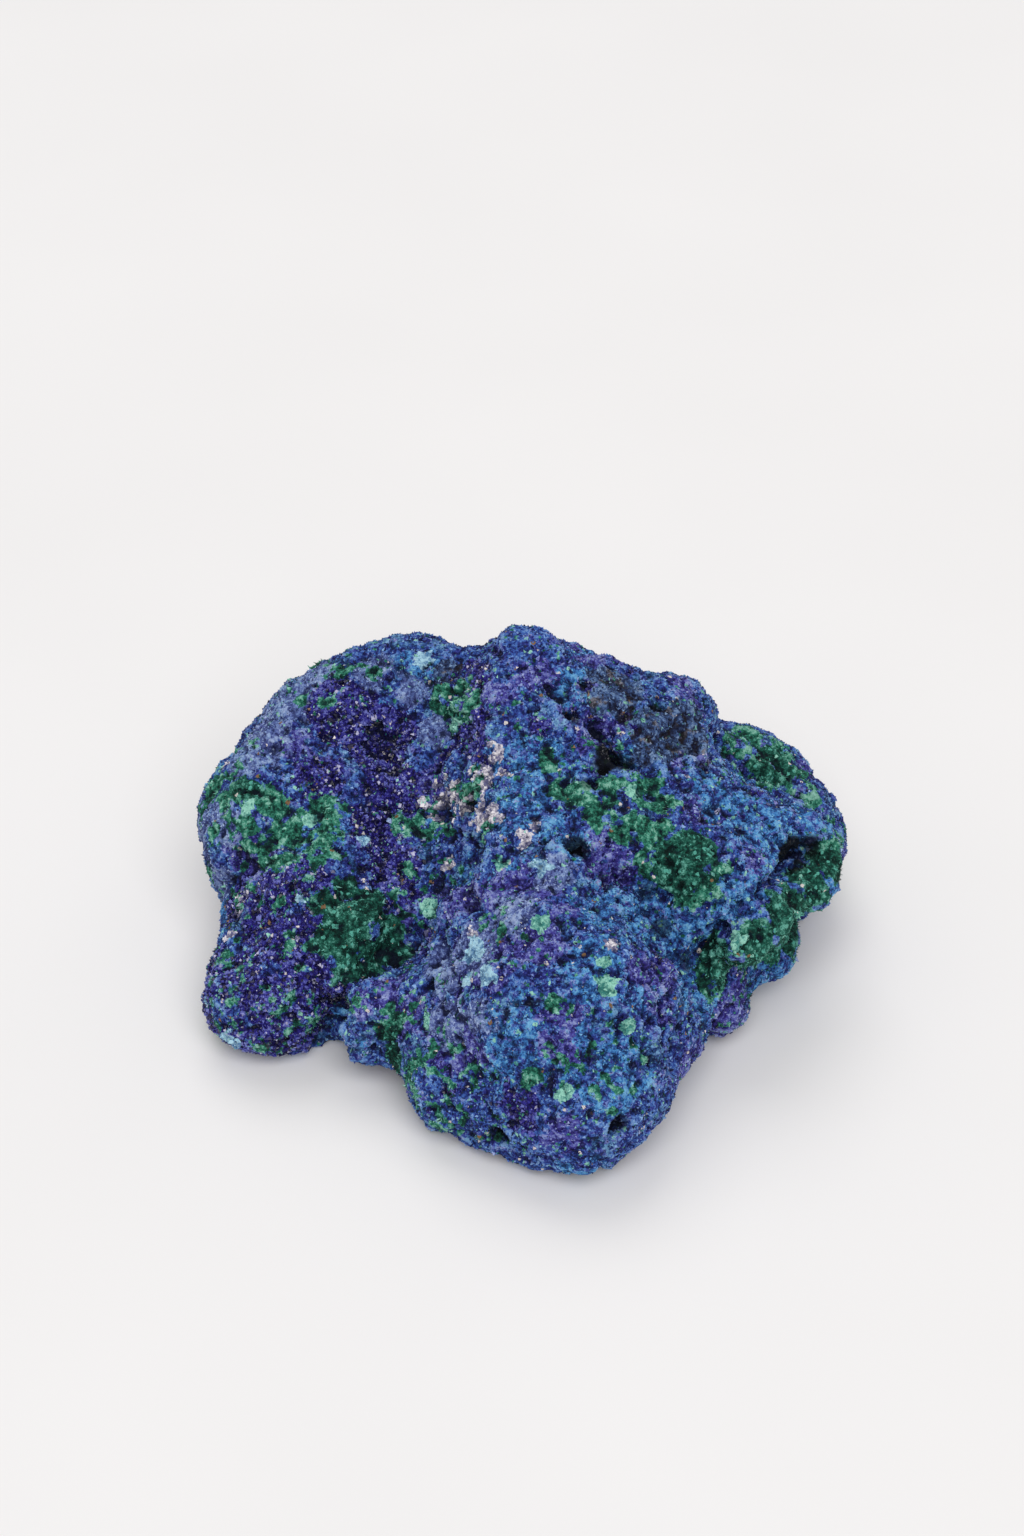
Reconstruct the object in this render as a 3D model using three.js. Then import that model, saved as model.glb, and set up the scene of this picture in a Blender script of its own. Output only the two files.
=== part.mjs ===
// Azurite specimen: one loose, hand-sized lump of azurite crust grown through with malachite.
// It is a single piece of mineral. A thick body carries a blunt front arm, two arms on the left,
// a right arm that overhangs the table, and low lobes at the back and under the right arm.
//
// The lump is modelled as rounded lobes blended into each other, less the hollows between them.
// A geodesic ball is wrapped onto that surface: its vertices are drawn in along rays to a point
// inside the lump, then spaced evenly over the surface.
//
// Millimetres. +X right, +Y away from the front arm, +Z up. The origin is the centre of the
// bounding box on the table plane.

import * as THREE from 'three';
import { ImprovedNoise } from 'three/addons/math/ImprovedNoise.js';
import { mergeVertices } from 'three/addons/utils/BufferGeometryUtils.js';

// Driving dimensions

const HEART = new THREE.Vector3(-2, 4, 10); // the point that the rays run to
const REACH = 60; // longer than the lump's furthest point from its heart
const GEODESIC_DETAIL = 19; // edge divisions of the ball, less one
const SPACING_ROUNDS = 40; // how often the vertices are evened out over the surface
const LOBE_BLEND = 5; // how widely neighbouring lobes run into each other
const HOLLOW_BLEND = 6; // how widely a hollow's rim is rounded
const CREASE_BLEND = 2; // how widely a crease's rim is rounded
const STEP_SHARE = 0.7; // how much of a distance is stepped, since the blends make it inexact
const TABLE = 0; // the lump is worn flat where it would pass below this height

// The lump's relief: [wavelength, height] of each layer of noise.
const RELIEF = [
  [14, 1.2],
  [7, 1],
  [4, 0.6],
];

// Each lobe is a rounded cone: [from, radius there, to, radius there].
const LOBES = {
  body: [[-7, 13, 15], 11, [9, 12, 16], 12],
  leftRidge: [[-16.3, 20.2, 19.6], 8.4, [-1.8, 16.9, 22.1], 7.8],
  rightRidge: [[0, 16.5, 21.9], 7.8, [13.4, 14.5, 20.3], 7.5],
  peak: [[0, 16.5, 26], 5, [0.8, 17.2, 31], 3.7],
  spine: [[-1, 14, 21], 8, [0, 0, 15.5], 8],
  leftArm: [[-17.8, 17.4, 12], 12.6, [-23.4, 9.5, 9.5], 8.9],
  leftKnob: [[-25.2, 16, 15.2], 7.1, [-27.8, 12, 15], 6.4],
  leftFrontArm: [[-14, 3, 9.5], 8, [-26.3, -5.8, 4.2], 7.4],
  leftElbow: [[-23.8, 0.8, 9], 6.1, [-25, -5, 7.4], 5],
  valleyFloor: [[-12, 5, 10.5], 8.5, [-17, -3, 5.5], 6.5],
  frontArm: [[2, 1, 14], 10.5, [3.6, -14, 9.6], 11.2],
  frontNose: [[3.2, -18, 9], 9.2, [5.2, -23.4, 6.6], 7.2],
  frontCheek: [[-3, -15.5, 5], 9, [-2.5, -18, 4.2], 8.5],
  rightCheek: [[7, -8, 8], 9, [9.6, -12, 7], 7.9],
  frontSpur: [[-6, -8.5, 6.5], 6.5, [-16.8, -12, 6], 3.1],
  rightShoulder: [[9, 2, 15.5], 9, [19, -3.5, 16], 6.5],
  rightArm: [[10, 8, 16], 10, [27, 3, 15.5], 5.2],
  backRightLobe: [[21.8, 20.4, 9.8], 8.7, [25, 14.5, 7.5], 9.1],
  underArmLobe: [[13, -1, 6], 8, [18, -4, 4.5], 5],
  sideKnob: [[22, 3, 6], 5, [25.2, 1.3, 5.5], 2.9],
};

// Each hollow is a rounded cone too, taken away from the lobes.
const HOLLOWS = {
  leftValley: [[-15, 12, 32], 8, [-13, -1, 22.5], 6.5],
};

// The creases are narrower hollows, with sharper rims.
const CREASES = {
  valleyFoot: [[-9.6, 10, 23.6], 1.6, [-10.6, -1, 16.8], 2.2],
  behindSpur: [[-11, -4.5, 15.2], 1.6, [-19.4, -11.2, 4.6], 1.5],
  besideArm: [[12, -8.6, 21.4], 1.6, [18.2, -13, 11.5], 2.4],
  behindRidge: [[21, 15, 22.4], 2, [31.2, 12.4, 16.2], 1.8],
  underTip: [[26.5, -3, 18.4], 0.8, [31.8, -0.5, 16.2], 1.2],
};

const perlin = new ImprovedNoise();

// Distance from a point to a cone with rounded ends, which is negative inside it.
function roundedConeDistance(point, [from, fromRadius, to, toRadius]) {
  const start = new THREE.Vector3(...from);
  const along = new THREE.Vector3(...to).sub(start);
  const offset = point.clone().sub(start);
  const share = THREE.MathUtils.clamp(offset.dot(along) / along.lengthSq(), 0, 1);
  const radius = THREE.MathUtils.lerp(fromRadius, toRadius, share);
  return offset.addScaledVector(along, -share).length() - radius;
}

// The lesser of two distances, rounded off over the width of the blend where they are close.
function smoothMinimum(a, b, blend) {
  const overlap = Math.max(blend - Math.abs(a - b), 0) / blend;
  return Math.min(a, b) - (overlap * overlap * blend) / 4;
}

function reliefAt(point) {
  return RELIEF.reduce(
    (sum, [wavelength, height]) =>
      sum + height * perlin.noise(...point.clone().divideScalar(wavelength)),
    0,
  );
}

// The distance to a shape, once hollows have been taken away from it.
function hollowedOut(distance, point, hollows, blend) {
  return Object.values(hollows).reduce(
    (most, hollow) => -smoothMinimum(-most, roundedConeDistance(point, hollow), blend),
    distance,
  );
}

// Distance from a point to the lump's surface, negative inside it.
function lumpDistance(point) {
  const lobes = Object.values(LOBES).reduce(
    (least, lobe) => smoothMinimum(least, roundedConeDistance(point, lobe), LOBE_BLEND),
    REACH,
  );
  const hollowed = hollowedOut(lobes, point, HOLLOWS, HOLLOW_BLEND);
  const creased = hollowedOut(hollowed, point, CREASES, CREASE_BLEND);
  return Math.max(creased - reliefAt(point), TABLE - point.z);
}

// The direction in which the distance grows fastest, which is the surface's normal near it.
function outwardAt(point) {
  const STEP = 0.02;
  const outward = new THREE.Vector3();
  for (const axis of ['x', 'y', 'z']) {
    const near = point.clone();
    const far = point.clone();
    near[axis] -= STEP;
    far[axis] += STEP;
    outward[axis] = (lumpDistance(far) - lumpDistance(near)) / (2 * STEP);
  }
  return outward;
}

// The outermost point where a ray from the heart meets the lump, found from outside.
function surfaceAlong(direction) {
  const STEPS = 100;
  let reach = REACH;
  const point = new THREE.Vector3();
  for (let step = 0; step < STEPS; step++) {
    point.copy(HEART).addScaledVector(direction, reach);
    reach -= lumpDistance(point) * STEP_SHARE;
  }
  return point;
}

// For each vertex, the vertices that it shares an edge with.
function neighboursOf(geometry) {
  const neighbours = Array.from({ length: geometry.getAttribute('position').count }, () => new Set());
  const corners = geometry.index.array;
  for (let i = 0; i < corners.length; i += 3) {
    for (let side = 0; side < 3; side++) {
      const a = corners[i + side];
      const b = corners[i + ((side + 1) % 3)];
      neighbours[a].add(b);
      neighbours[b].add(a);
    }
  }
  return neighbours;
}

// Slides a vertex along the surface towards the middle of its neighbours, and back onto it.
function evenOut(vertex, around) {
  const SLIDE_SHARE = 0.8;
  const LEAST_STEEPNESS = 0.2;
  const middle = new THREE.Vector3();
  around.forEach((other) => middle.addScaledVector(other, 1 / around.length));
  const outward = outwardAt(vertex);
  const steepness = Math.max(outward.length(), LEAST_STEEPNESS);
  outward.normalize();
  const slide = middle.sub(vertex);
  slide.addScaledVector(outward, -slide.dot(outward));
  vertex.addScaledVector(slide, SLIDE_SHARE);
  vertex.addScaledVector(outward, (-STEP_SHARE * lumpDistance(vertex)) / steepness);
  vertex.z = Math.max(vertex.z, TABLE);
}

function lumpGeometry() {
  const ball = new THREE.IcosahedronGeometry(1, GEODESIC_DETAIL);
  ball.deleteAttribute('normal');
  ball.deleteAttribute('uv');
  const geometry = mergeVertices(ball);
  const positions = geometry.getAttribute('position');
  const vertices = Array.from({ length: positions.count }, (_, i) =>
    surfaceAlong(new THREE.Vector3().fromBufferAttribute(positions, i).normalize()),
  );
  const neighbours = neighboursOf(geometry).map((set) => [...set].map((i) => vertices[i]));
  for (let round = 0; round < SPACING_ROUNDS; round++) {
    vertices.forEach((vertex, i) => evenOut(vertex, neighbours[i]));
  }
  positions.copyArray(vertices.flatMap((vertex) => vertex.toArray()));
  geometry.computeBoundingBox();
  const { min, max } = geometry.boundingBox;
  geometry.translate(-(min.x + max.x) / 2, -(min.y + max.y) / 2, -min.z);
  geometry.computeVertexNormals();
  return geometry;
}

const azuriteCrust = new THREE.MeshStandardMaterial({
  color: new THREE.Color(0.11, 0.2, 0.48),
  roughness: 0.75,
  metalness: 0,
});

const lump = new THREE.Mesh(lumpGeometry(), azuriteCrust);
lump.name = 'azurite_lump';

const specimen = new THREE.Group();
specimen.name = 'azurite_specimen';
specimen.add(lump);

export default specimen;
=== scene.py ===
import math

import bmesh
import bpy
import numpy as np
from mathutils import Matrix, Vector


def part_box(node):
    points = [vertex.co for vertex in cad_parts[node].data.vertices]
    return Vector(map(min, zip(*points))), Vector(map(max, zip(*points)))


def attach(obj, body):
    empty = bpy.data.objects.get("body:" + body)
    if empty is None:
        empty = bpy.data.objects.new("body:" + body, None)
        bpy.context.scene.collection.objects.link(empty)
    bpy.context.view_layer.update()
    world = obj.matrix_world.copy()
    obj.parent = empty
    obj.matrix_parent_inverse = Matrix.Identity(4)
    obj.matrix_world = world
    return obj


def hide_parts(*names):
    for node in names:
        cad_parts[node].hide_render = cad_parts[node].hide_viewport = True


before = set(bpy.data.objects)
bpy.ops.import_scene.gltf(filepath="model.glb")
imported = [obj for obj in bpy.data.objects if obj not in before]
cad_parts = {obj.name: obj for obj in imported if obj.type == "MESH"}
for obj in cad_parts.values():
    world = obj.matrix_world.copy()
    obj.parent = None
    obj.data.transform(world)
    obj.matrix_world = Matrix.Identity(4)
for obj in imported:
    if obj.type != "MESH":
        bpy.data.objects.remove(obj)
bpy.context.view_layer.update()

# A lump of azurite crust grown through with malachite. The crust is the part's own solid, rounded
# off, remeshed and moved in and out. Crumbs, crystals and tufts are then scattered over it.
# Sizes and places are in millimetres until they go into a mesh.

MM = 0.001
LUMP = "azurite_lump"
VIEW_ELEVATION = math.radians(38)
HEART = (-2, 4, 10)  # a point well inside the lump, which holes run towards

KNOB = 2.1  # how far apart the crust's knobs are
CRUST_VOXEL = 0.295  # how wide the squares of the crust's mesh are
SQUEEZE = 1.3  # how near the sides of the part's box the crust begins to be squeezed
CUT = 10.6  # the height at which the crust is cut in two

# How far apart the loose pieces are, how large they are, and the most there may be in one mesh.
CRUMB_SPACING, CRUMB_SIZE, MOST_CRUMBS = 0.27, 0.26, 40000
CRYSTAL_SPACING, CRYSTAL_SIZE, MOST_CRYSTALS = 0.34, 0.36, 16000
LEAF_SPACING, LEAF_LENGTH, MOST_LEAVES = 0.26, 0.28, 32000
CHIP_SPACING, CHIP_SIZE = 0.32, 0.4

# ---------------------------------------------------------------------------
# The layout of the lump's surface
# ---------------------------------------------------------------------------

# Where each kind of surface lies: [x, y, z, radius] of each of its spots.
ZONES = {
    "malachite": [
        [-7.9, 15.0, 26.6, 1.9], [-6.3, 14.1, 27.6, 2.4], [-5.0, 11.8, 28.0, 1.9],
        [-7.2, 13.0, 26.2, 2.2], [-31.0, 9.0, 18.5, 1.8], [-29.3, 8.0, 19.4, 2.2],
        [-26.0, 7.0, 19.7, 2.6], [-28.0, 4.5, 18.0, 2.7], [-25.5, 2.6, 16.8, 2.7],
        [-23.0, 4.0, 18.2, 2.6], [-20.3, 1.3, 17.3, 2.5], [-24.0, 0.6, 15.8, 2.0],
        [-20.0, 5.8, 19.4, 2.2], [-20.2, -3.3, 14.4, 2.0], [-18.2, -2.0, 15.2, 1.9],
        [-16.0, -3.7, 14.6, 2.5], [-14.0, -4.9, 12.4, 2.3], [-13.4, -5.4, 10.0, 2.2],
        [-15.7, -6.5, 10.0, 2.8], [-18.0, -8.0, 10.2, 2.4], [-20.4, -7.0, 12.4, 2.0],
        [-18.0, -5.6, 13.4, 3.2], [2.3, 4.2, 26.9, 1.7], [3.5, 1.4, 25.7, 1.7],
        [6.0, 0.0, 25.2, 2.2], [9.0, 0.8, 25.8, 2.3], [12.0, 1.5, 25.2, 2.3],
        [14.3, 0.8, 24.0, 1.9], [7.9, -2.4, 24.4, 1.8], [10.9, -2.2, 23.6, 2.4],
        [13.9, -3.1, 22.7, 2.7], [17.0, -4.6, 22.3, 2.5], [19.3, -6.0, 21.7, 1.8],
        [16.8, -7.0, 20.6, 2.7], [13.4, -5.2, 21.6, 2.5], [33.0, 5.0, 15.0, 2.8],
        [31.2, 1.0, 16.4, 2.7], [31.6, 1.4, 13.6, 2.6], [28.6, -2.0, 15.6, 2.7],
        [26.9, -4.8, 16.6, 2.5], [28.6, -1.8, 12.6, 2.6], [25.4, -7.6, 16.2, 2.8],
        [22.4, -10.0, 16.0, 2.7], [25.6, -5.4, 13.2, 2.4], [19.8, -9.4, 13.4, 2.6],
        [19.0, -9.8, 10.2, 2.5], [22.6, -9.4, 12.6, 2.6], [27.0, -1.1, 9.5, 3.4],
        [24.4, -3.4, 8.8, 2.8], [27.4, 0.6, 6.6, 2.4], [33.4, 12.6, 11.6, 2.0],
        [30.6, 3.6, 17.6, 1.8], [21.7, 18.9, 19.0, 2.6], [24.2, 22.4, 17.2, 2.6],
        [23.2, 16.6, 17.8, 3.2], [26.4, 19.8, 16.4, 3.4], [28.1, 17.0, 15.8, 3.5],
        [25.2, 14.0, 16.3, 2.2], [29.8, 14.0, 14.8, 2.6], [-17.5, -11.6, 7.6, 1.6],
        [-16.0, -12.4, 8.4, 2.0], [-13.4, -14.5, 8.6, 2.0], [-12.5, -16.7, 5.5, 2.2],
        [-11.1, -21.0, 5.0, 2.0], [-11.0, -15.1, 10.4, 1.4], [-30.0, -6.2, 9.3, 1.7],
        [-28.6, -9.6, 8.6, 1.3], [-24.8, -11.0, 8.0, 1.6], [-22.2, -11.0, 5.6, 1.6],
        [-26.7, -12.2, 3.8, 1.4], [-18.8, 20.4, 26.4, 1.4], [-15.6, 19.4, 26.8, 1.2],
        [-23.4, 17.5, 24.8, 1.0], [-30.0, 12.3, 20.0, 1.3], [-32.5, 11.2, 17.6, 1.9],
        [-31.9, 6.2, 15.9, 1.6], [-33.6, 11.5, 13.0, 1.4], [-33.4, 7.0, 10.0, 1.6],
        [-5.6, 3.7, 23.3, 1.4], [-4.2, -1.4, 22.4, 1.2], [-11.8, 5.2, 17.6, 2.2],
        [-9.0, 4.5, 17.5, 1.6], [-9.8, -19.5, 10.2, 1.6], [-11.0, -20.2, 7.0, 1.6],
        [-8.8, -23.5, 4.2, 2.0], [2.5, -22.0, 18.2, 1.1], [0.4, -26.3, 12.0, 1.3],
        [3.1, -26.0, 14.0, 1.0],
    ],
    "druse": [
        [-19.0, 16.0, 24.5, 4.2], [-15.0, 13.5, 22.6, 4.2], [-13.3, 8.5, 20.0, 3.8],
        [-15.0, 4.5, 17.5, 3.8], [-13.0, 1.0, 16.4, 3.2], [-21.5, 9.5, 21.0, 3.0],
        [-22.0, -1.0, 15.8, 3.4], [-26.0, -3.0, 12.5, 3.6], [-24.0, -6.0, 11.5, 4.2],
        [-28.0, -8.5, 8.5, 4.0], [-22.0, -9.8, 8.0, 3.6], [-26.0, -10.5, 6.0, 3.4],
        [-13.5, -1.5, 14.5, 2.6], [1.6, 8.2, 28.2, 1.6], [9.0, 5.6, 27.2, 1.8],
        [-30.5, -6.0, 7.0, 4.0], [-31.5, -8.5, 4.0, 3.6], [-29.5, 0.5, 12.0, 3.0],
        [-27.0, -12.0, 3.5, 3.4], [-22.0, -11.5, 4.0, 3.4], [-19.0, -9.5, 8.5, 2.6],
        [-24.0, -1.0, 14.6, 3.6], [-22.5, -9.1, 12.1, 3.4], [-26.5, -11.7, 9.1, 3.0],
        [4.7, 9.4, 29.6, 1.4], [6.4, 13.0, 30.2, 1.1],
    ],
    "cerulean": [
        [0.5, -1.0, 25.0, 4.4], [5.0, -5.0, 23.5, 2.6], [23.5, 0.5, 21.0, 5.0],
        [19.5, 3.0, 23.0, 4.2], [27.0, -1.0, 19.0, 3.6], [12.0, -9.0, 18.0, 5.0],
        [16.0, -12.0, 14.0, 4.4], [8.5, -8.0, 21.0, 3.2], [20.5, -6.5, 18.5, 3.8],
        [29.5, 5.0, 18.5, 3.4], [7.0, -19.0, 20.5, 4.6], [2.0, 4.0, 27.0, 2.6],
        [10.0, 5.5, 27.0, 2.2], [9.0, -26.0, 13.0, 4.0], [4.5, 12.0, 30.0, 2.6],
        [-11.0, 18.0, 28.0, 2.6], [7.5, -12.0, 20.5, 3.6], [14.9, -8.0, 15.8, 4.2],
        [18.0, -11.0, 9.5, 3.0],
    ],
    "violet": [
        [-4.5, -15.5, 18.5, 5.0], [-6.5, -19.0, 12.0, 4.6], [-1.0, -10.0, 21.5, 4.2],
        [-6.0, -7.0, 18.5, 3.4], [1.0, -16.5, 21.0, 3.2], [12.5, -15.5, 15.0, 3.0],
        [17.0, 0.5, 24.0, 2.2], [22.0, -3.5, 20.5, 2.0], [7.5, 8.0, 28.5, 2.8],
        [-3.0, 10.5, 27.5, 2.6], [21.5, -9.5, 5.0, 4.5], [4.0, -28.0, 8.0, 3.0],
        [1.0, 13.0, 31.0, 2.4], [-24.0, 13.0, 22.5, 2.4],
    ],
    "soot": [
        [13.5, 8.5, 28.0, 3.6], [17.0, 10.5, 26.5, 3.8], [9.0, 12.5, 29.5, 3.4],
        [11.0, 4.6, 27.0, 1.8], [-1.5, 15.0, 30.0, 1.8], [-8.0, 17.0, 28.5, 1.8],
    ],
    "powder": [
        [-28.0, 14.0, 21.5, 4.6], [-25.0, 17.5, 23.0, 4.4], [-30.5, 7.0, 17.0, 2.8],
        [-13.0, 6.5, 18.5, 1.8], [-21.5, 20.5, 24.5, 3.0], [-1.0, -12.5, 21.0, 2.8],
        [-9.0, 13.0, 24.0, 2.2], [3.0, -8.0, 22.8, 2.4], [-9.0, -12.0, 15.0, 2.6],
        [18.0, 8.0, 25.0, 2.0], [-33.5, 10.0, 14.0, 4.0], [-32.5, 5.5, 11.0, 3.6],
        [-5.0, -14.5, 18.4, 3.6], [-7.5, -18.5, 12.5, 3.4], [-7.5, -15.0, 14.5, 2.6],
        [-4.0, -20.5, 15.0, 2.4], [-16.0, 19.5, 26.5, 2.6], [-12.0, 17.0, 26.6, 2.2],
    ],
    "gangue": [
        [-3.4, 5.2, 26.6, 1.9], [-4.5, 4.3, 25.2, 2.0], [-2.4, 3.6, 26.4, 1.2],
        [-8.3, 7.3, 19.8, 1.9], [-7.4, 6.0, 21.2, 1.8], [-6.3, 3.5, 21.8, 1.7],
        [-5.1, 0.6, 22.3, 1.6], [-3.7, -0.8, 23.7, 1.6], [-4.6, 1.6, 23.4, 1.2],
        [-9.2, 6.0, 18.0, 1.3], [-0.1, -4.4, 23.9, 1.3], [-7.6, 0.1, 16.8, 1.2],
        [-32.5, 11.8, 17.8, 1.2], [-31.2, 13.2, 19.0, 0.9], [-29.6, -0.6, 12.2, 1.8],
        [-30.6, -3.4, 10.8, 1.0], [-31.2, 2.6, 12.6, 0.9], [-30.0, -5.6, 8.6, 0.8],
        [14.5, 1.6, 24.4, 0.7], [8.4, -16.8, 21.0, 1.0], [-5.8, -12.5, 19.0, 0.9],
        [16.5, 4.5, 25.0, 0.6], [1.0, -3.0, 24.6, 0.9], [-10.5, -5.5, 13.0, 0.8],
    ],
    "mint": [
        [-6.6, 12.2, 25.7, 1.1], [-9.6, -3.0, 13.8, 1.0], [1.4, -14.3, 21.3, 1.1],
        [8.0, -20.4, 18.9, 1.3], [7.2, -18.7, 20.4, 1.0], [-28.5, 6.5, 19.5, 0.8],
        [-18.6, -4.6, 14.2, 0.9], [3.4, -28.2, 12.0, 1.1], [-9.9, -17.5, 11.5, 1.0],
        [10.0, -22.5, 15.5, 0.9], [-2.5, -6.0, 22.5, 0.9], [21.0, -10.3, 16.0, 1.2],
        [11.0, 1.2, 25.6, 0.9], [-22.0, 5.0, 18.8, 0.9],
    ],
    "sky": [
        [-5.4, -14.5, 18.0, 1.4], [-3.8, -18.6, 18.6, 1.2], [-5.6, -17.0, 16.6, 0.9],
        [-31.5, -8.5, 5.8, 0.9], [-29.5, -11.2, 3.4, 1.2], [-10.5, 19.5, 28.4, 1.2],
        [1.5, -7.5, 23.0, 1.1], [-22.5, -3.0, 14.6, 0.8], [-16.5, 3.0, 17.5, 0.9],
    ],
    "velvet": [
        [-16.8, -5.4, 12.6, 6.6], [16.0, -5.2, 21.8, 3.6], [26.6, 17.6, 16.4, 2.8],
        [29.4, -0.6, 14.6, 4.4], [25.4, -7.0, 15.0, 4.4], [26.8, -1.2, 9.0, 3.4],
        [22.0, -9.6, 13.0, 5.0], [33.4, 9.0, 13.6, 4.0], [-12.4, -16.0, 6.0, 3.4],
        [-28.0, 9.0, 19.6, 2.2],
    ],
    "speckled": [
        [-26.0, 3.0, 15.5, 9.0], [-26.0, -8.0, 7.5, 8.0], [-30.5, 11.0, 18.0, 6.0],
        [-20.5, 20.0, 25.5, 5.5], [-10.0, -15.0, 10.0, 6.5], [-7.0, -23.0, 6.0, 6.5],
        [-10.0, -2.0, 14.5, 5.0], [-8.0, 6.0, 20.5, 4.0], [-1.0, -14.0, 20.0, 5.0],
        [6.5, -25.0, 13.0, 6.0], [24.5, -10.0, 6.0, 6.0], [-3.5, 3.0, 25.0, 3.5],
        [8.0, 5.0, 27.0, 3.5], [0.0, 9.0, 28.0, 3.0],
    ],
    "knobbly": [
        [12.0, -8.5, 18.5, 6.0], [16.0, -11.0, 14.0, 6.0], [20.5, -6.5, 18.5, 5.0],
        [7.5, -6.5, 22.0, 3.2], [26.5, 0.0, 19.5, 4.0], [10.0, -20.0, 16.0, 6.0],
        [-6.0, -12.0, 17.0, 4.0], [-6.5, 13.8, 26.8, 3.4],
    ],
}

# How far each zone's edge is frayed by rough noise, by fine noise, and from knob to knob.
FRAYING = {
    "malachite": (0.36, 0.34, 0.16),
    "druse": (0.3, 0.3, 0.1),
    "cerulean": (0.4, 0.42, 0.3),
    "violet": (0.4, 0.42, 0.3),
    "soot": (0.35, 0.3, 0.1),
    "powder": (0.35, 0.3, 0.2),
    "gangue": (0.3, 0.6, 0),
    "mint": (0.35, 0.7, 0),
    "sky": (0.35, 0.7, 0),
    "velvet": (0.2, 0.1, 0),
    "speckled": (0.2, 0, 0),
    "knobbly": (0.4, 0, 0),
}

# Holes and caves: [x, y, z, radius, depth].
PITS = [
    [9.7, 4.9, 27.3, 1.2, 4.0], [10.8, 4.4, 27.0, 0.9, 3.4], [8.9, 5.8, 27.7, 0.7, 2.6],
    [6.4, 13.2, 30.2, 0.8, 1.6], [4.7, 9.2, 29.7, 1.0, 2.0], [5.6, -5.0, 23.6, 0.9, 2.2],
    [4.6, -5.0, 23.8, 0.7, 1.4], [8.4, -7.5, 21.0, 0.9, 1.6], [8.0, 8.5, 28.3, 1.8, 0.8],
    [16.4, 8.7, 26.0, 2.4, 1.0], [13.5, 12.0, 27.8, 0.8, 1.6], [-5.7, 3.7, 23.5, 0.5, 1.0],
    [-14.9, 13.5, 22.3, 2.2, 1.2], [-14.0, 11.0, 21.4, 1.4, 1.2], [9.1, -29.4, 8.6, 1.1, 1.7],
    [-2.5, -27.0, 4.6, 1.1, 1.7], [29.0, 0.2, 18.6, 1.2, 3.2], [27.9, -0.8, 18.3, 0.9, 2.4],
    [30.2, 1.4, 18.4, 0.8, 2.2], [12.8, -7.2, 19.4, 0.8, 1.6], [14.4, -9.6, 16.6, 0.9, 1.8],
    [10.4, -6.4, 21.4, 0.6, 1.2], [17.4, -10.6, 12.8, 1.0, 1.8], [6.6, 1.8, 26.4, 0.7, 1.4],
    [7.8, 3.0, 26.7, 0.6, 1.2], [-3.2, 6.2, 26.6, 0.6, 1.2], [-6.0, 2.6, 22.6, 0.8, 1.4],
    [18.6, 6.6, 24.8, 0.8, 1.4], [-5.4, -9.1, 19.4, 0.9, 1.4],
]

# Creases and ridges: [from, to, radius, height]. A crease's height is negative.
FOLDS = [
    [(4.4, -5.2, 23.8), (11.4, -7.3, 19.8), 1.4, -1.3],
    [(28.4, 0.4, 18.9), (26.5, -1.4, 18.0), 1.2, -1.5],
    [(26.5, -1.4, 18.0), (24.5, -6.8, 19.6), 1.2, -1.5],
    [(24.5, -6.8, 19.6), (21.6, -8.8, 18.8), 1.3, -1.6],
    [(21.6, -8.8, 18.8), (18.9, -9.3, 16.0), 1.3, -1.6],
    [(18.9, -9.3, 16.0), (17.3, -8.6, 12.6), 1.3, -1.5],
    [(31.8, 1.6, 15.8), (28.5, -1.9, 14.8), 2.0, 1.1],
    [(28.5, -1.9, 14.8), (25.4, -7.0, 15.6), 2.0, 1.1],
    [(25.4, -7.0, 15.6), (22.1, -9.8, 14.6), 1.9, 1.0],
    [(22.1, -9.8, 14.6), (19.7, -9.4, 10.8), 1.8, 1.0],
    [(30.8, 2.0, 12.0), (27.2, -1.1, 11.6), 1.3, -1.6],
    [(27.2, -1.1, 11.6), (23.4, -6.6, 11.8), 1.3, -1.6],
    [(23.4, -6.6, 11.8), (20.8, -9.4, 9.8), 1.2, -1.3],
    [(20.4, 16.2, 19.9), (25.0, 15.2, 16.7), 1.5, -1.6],
    [(25.0, 15.2, 16.7), (29.0, 14.0, 14.9), 1.4, -1.5],
    [(29.0, 14.0, 14.9), (32.4, 12.6, 12.6), 1.3, -1.3],
    [(22.4, 21.5, 18.0), (28.6, 16.8, 15.4), 1.1, -0.9],
    [(3.1, 11.4, 30.6), (7.6, 8.4, 28.4), 1.4, -1.0],
    [(7.6, 8.4, 28.4), (12.6, 4.2, 26.6), 1.4, -0.9],
    [(-8.2, 15.0, 26.0), (-4.8, 11.6, 27.6), 1.9, 1.0],
    [(-6.9, 9.0, 25.2), (-8.6, 1.0, 19.2), 1.2, -0.9],
    [(-8.6, 1.0, 19.2), (-5.4, -9.1, 19.4), 1.2, -1.0],
    [(-29.0, 3.0, 14.6), (-21.5, -0.6, 15.8), 1.3, -0.9],
    [(-17.8, -10.2, 10.6), (-19.2, -12.2, 8.4), 1.3, -1.6],
    [(-19.2, -12.2, 8.4), (-19.8, -12.6, 4.4), 1.8, -3.0],
    [(-19.8, -12.6, 4.4), (-20.4, -11.4, 1.0), 2.2, -3.0],
]


# ---------------------------------------------------------------------------
# Repeatable noise
# ---------------------------------------------------------------------------

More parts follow.
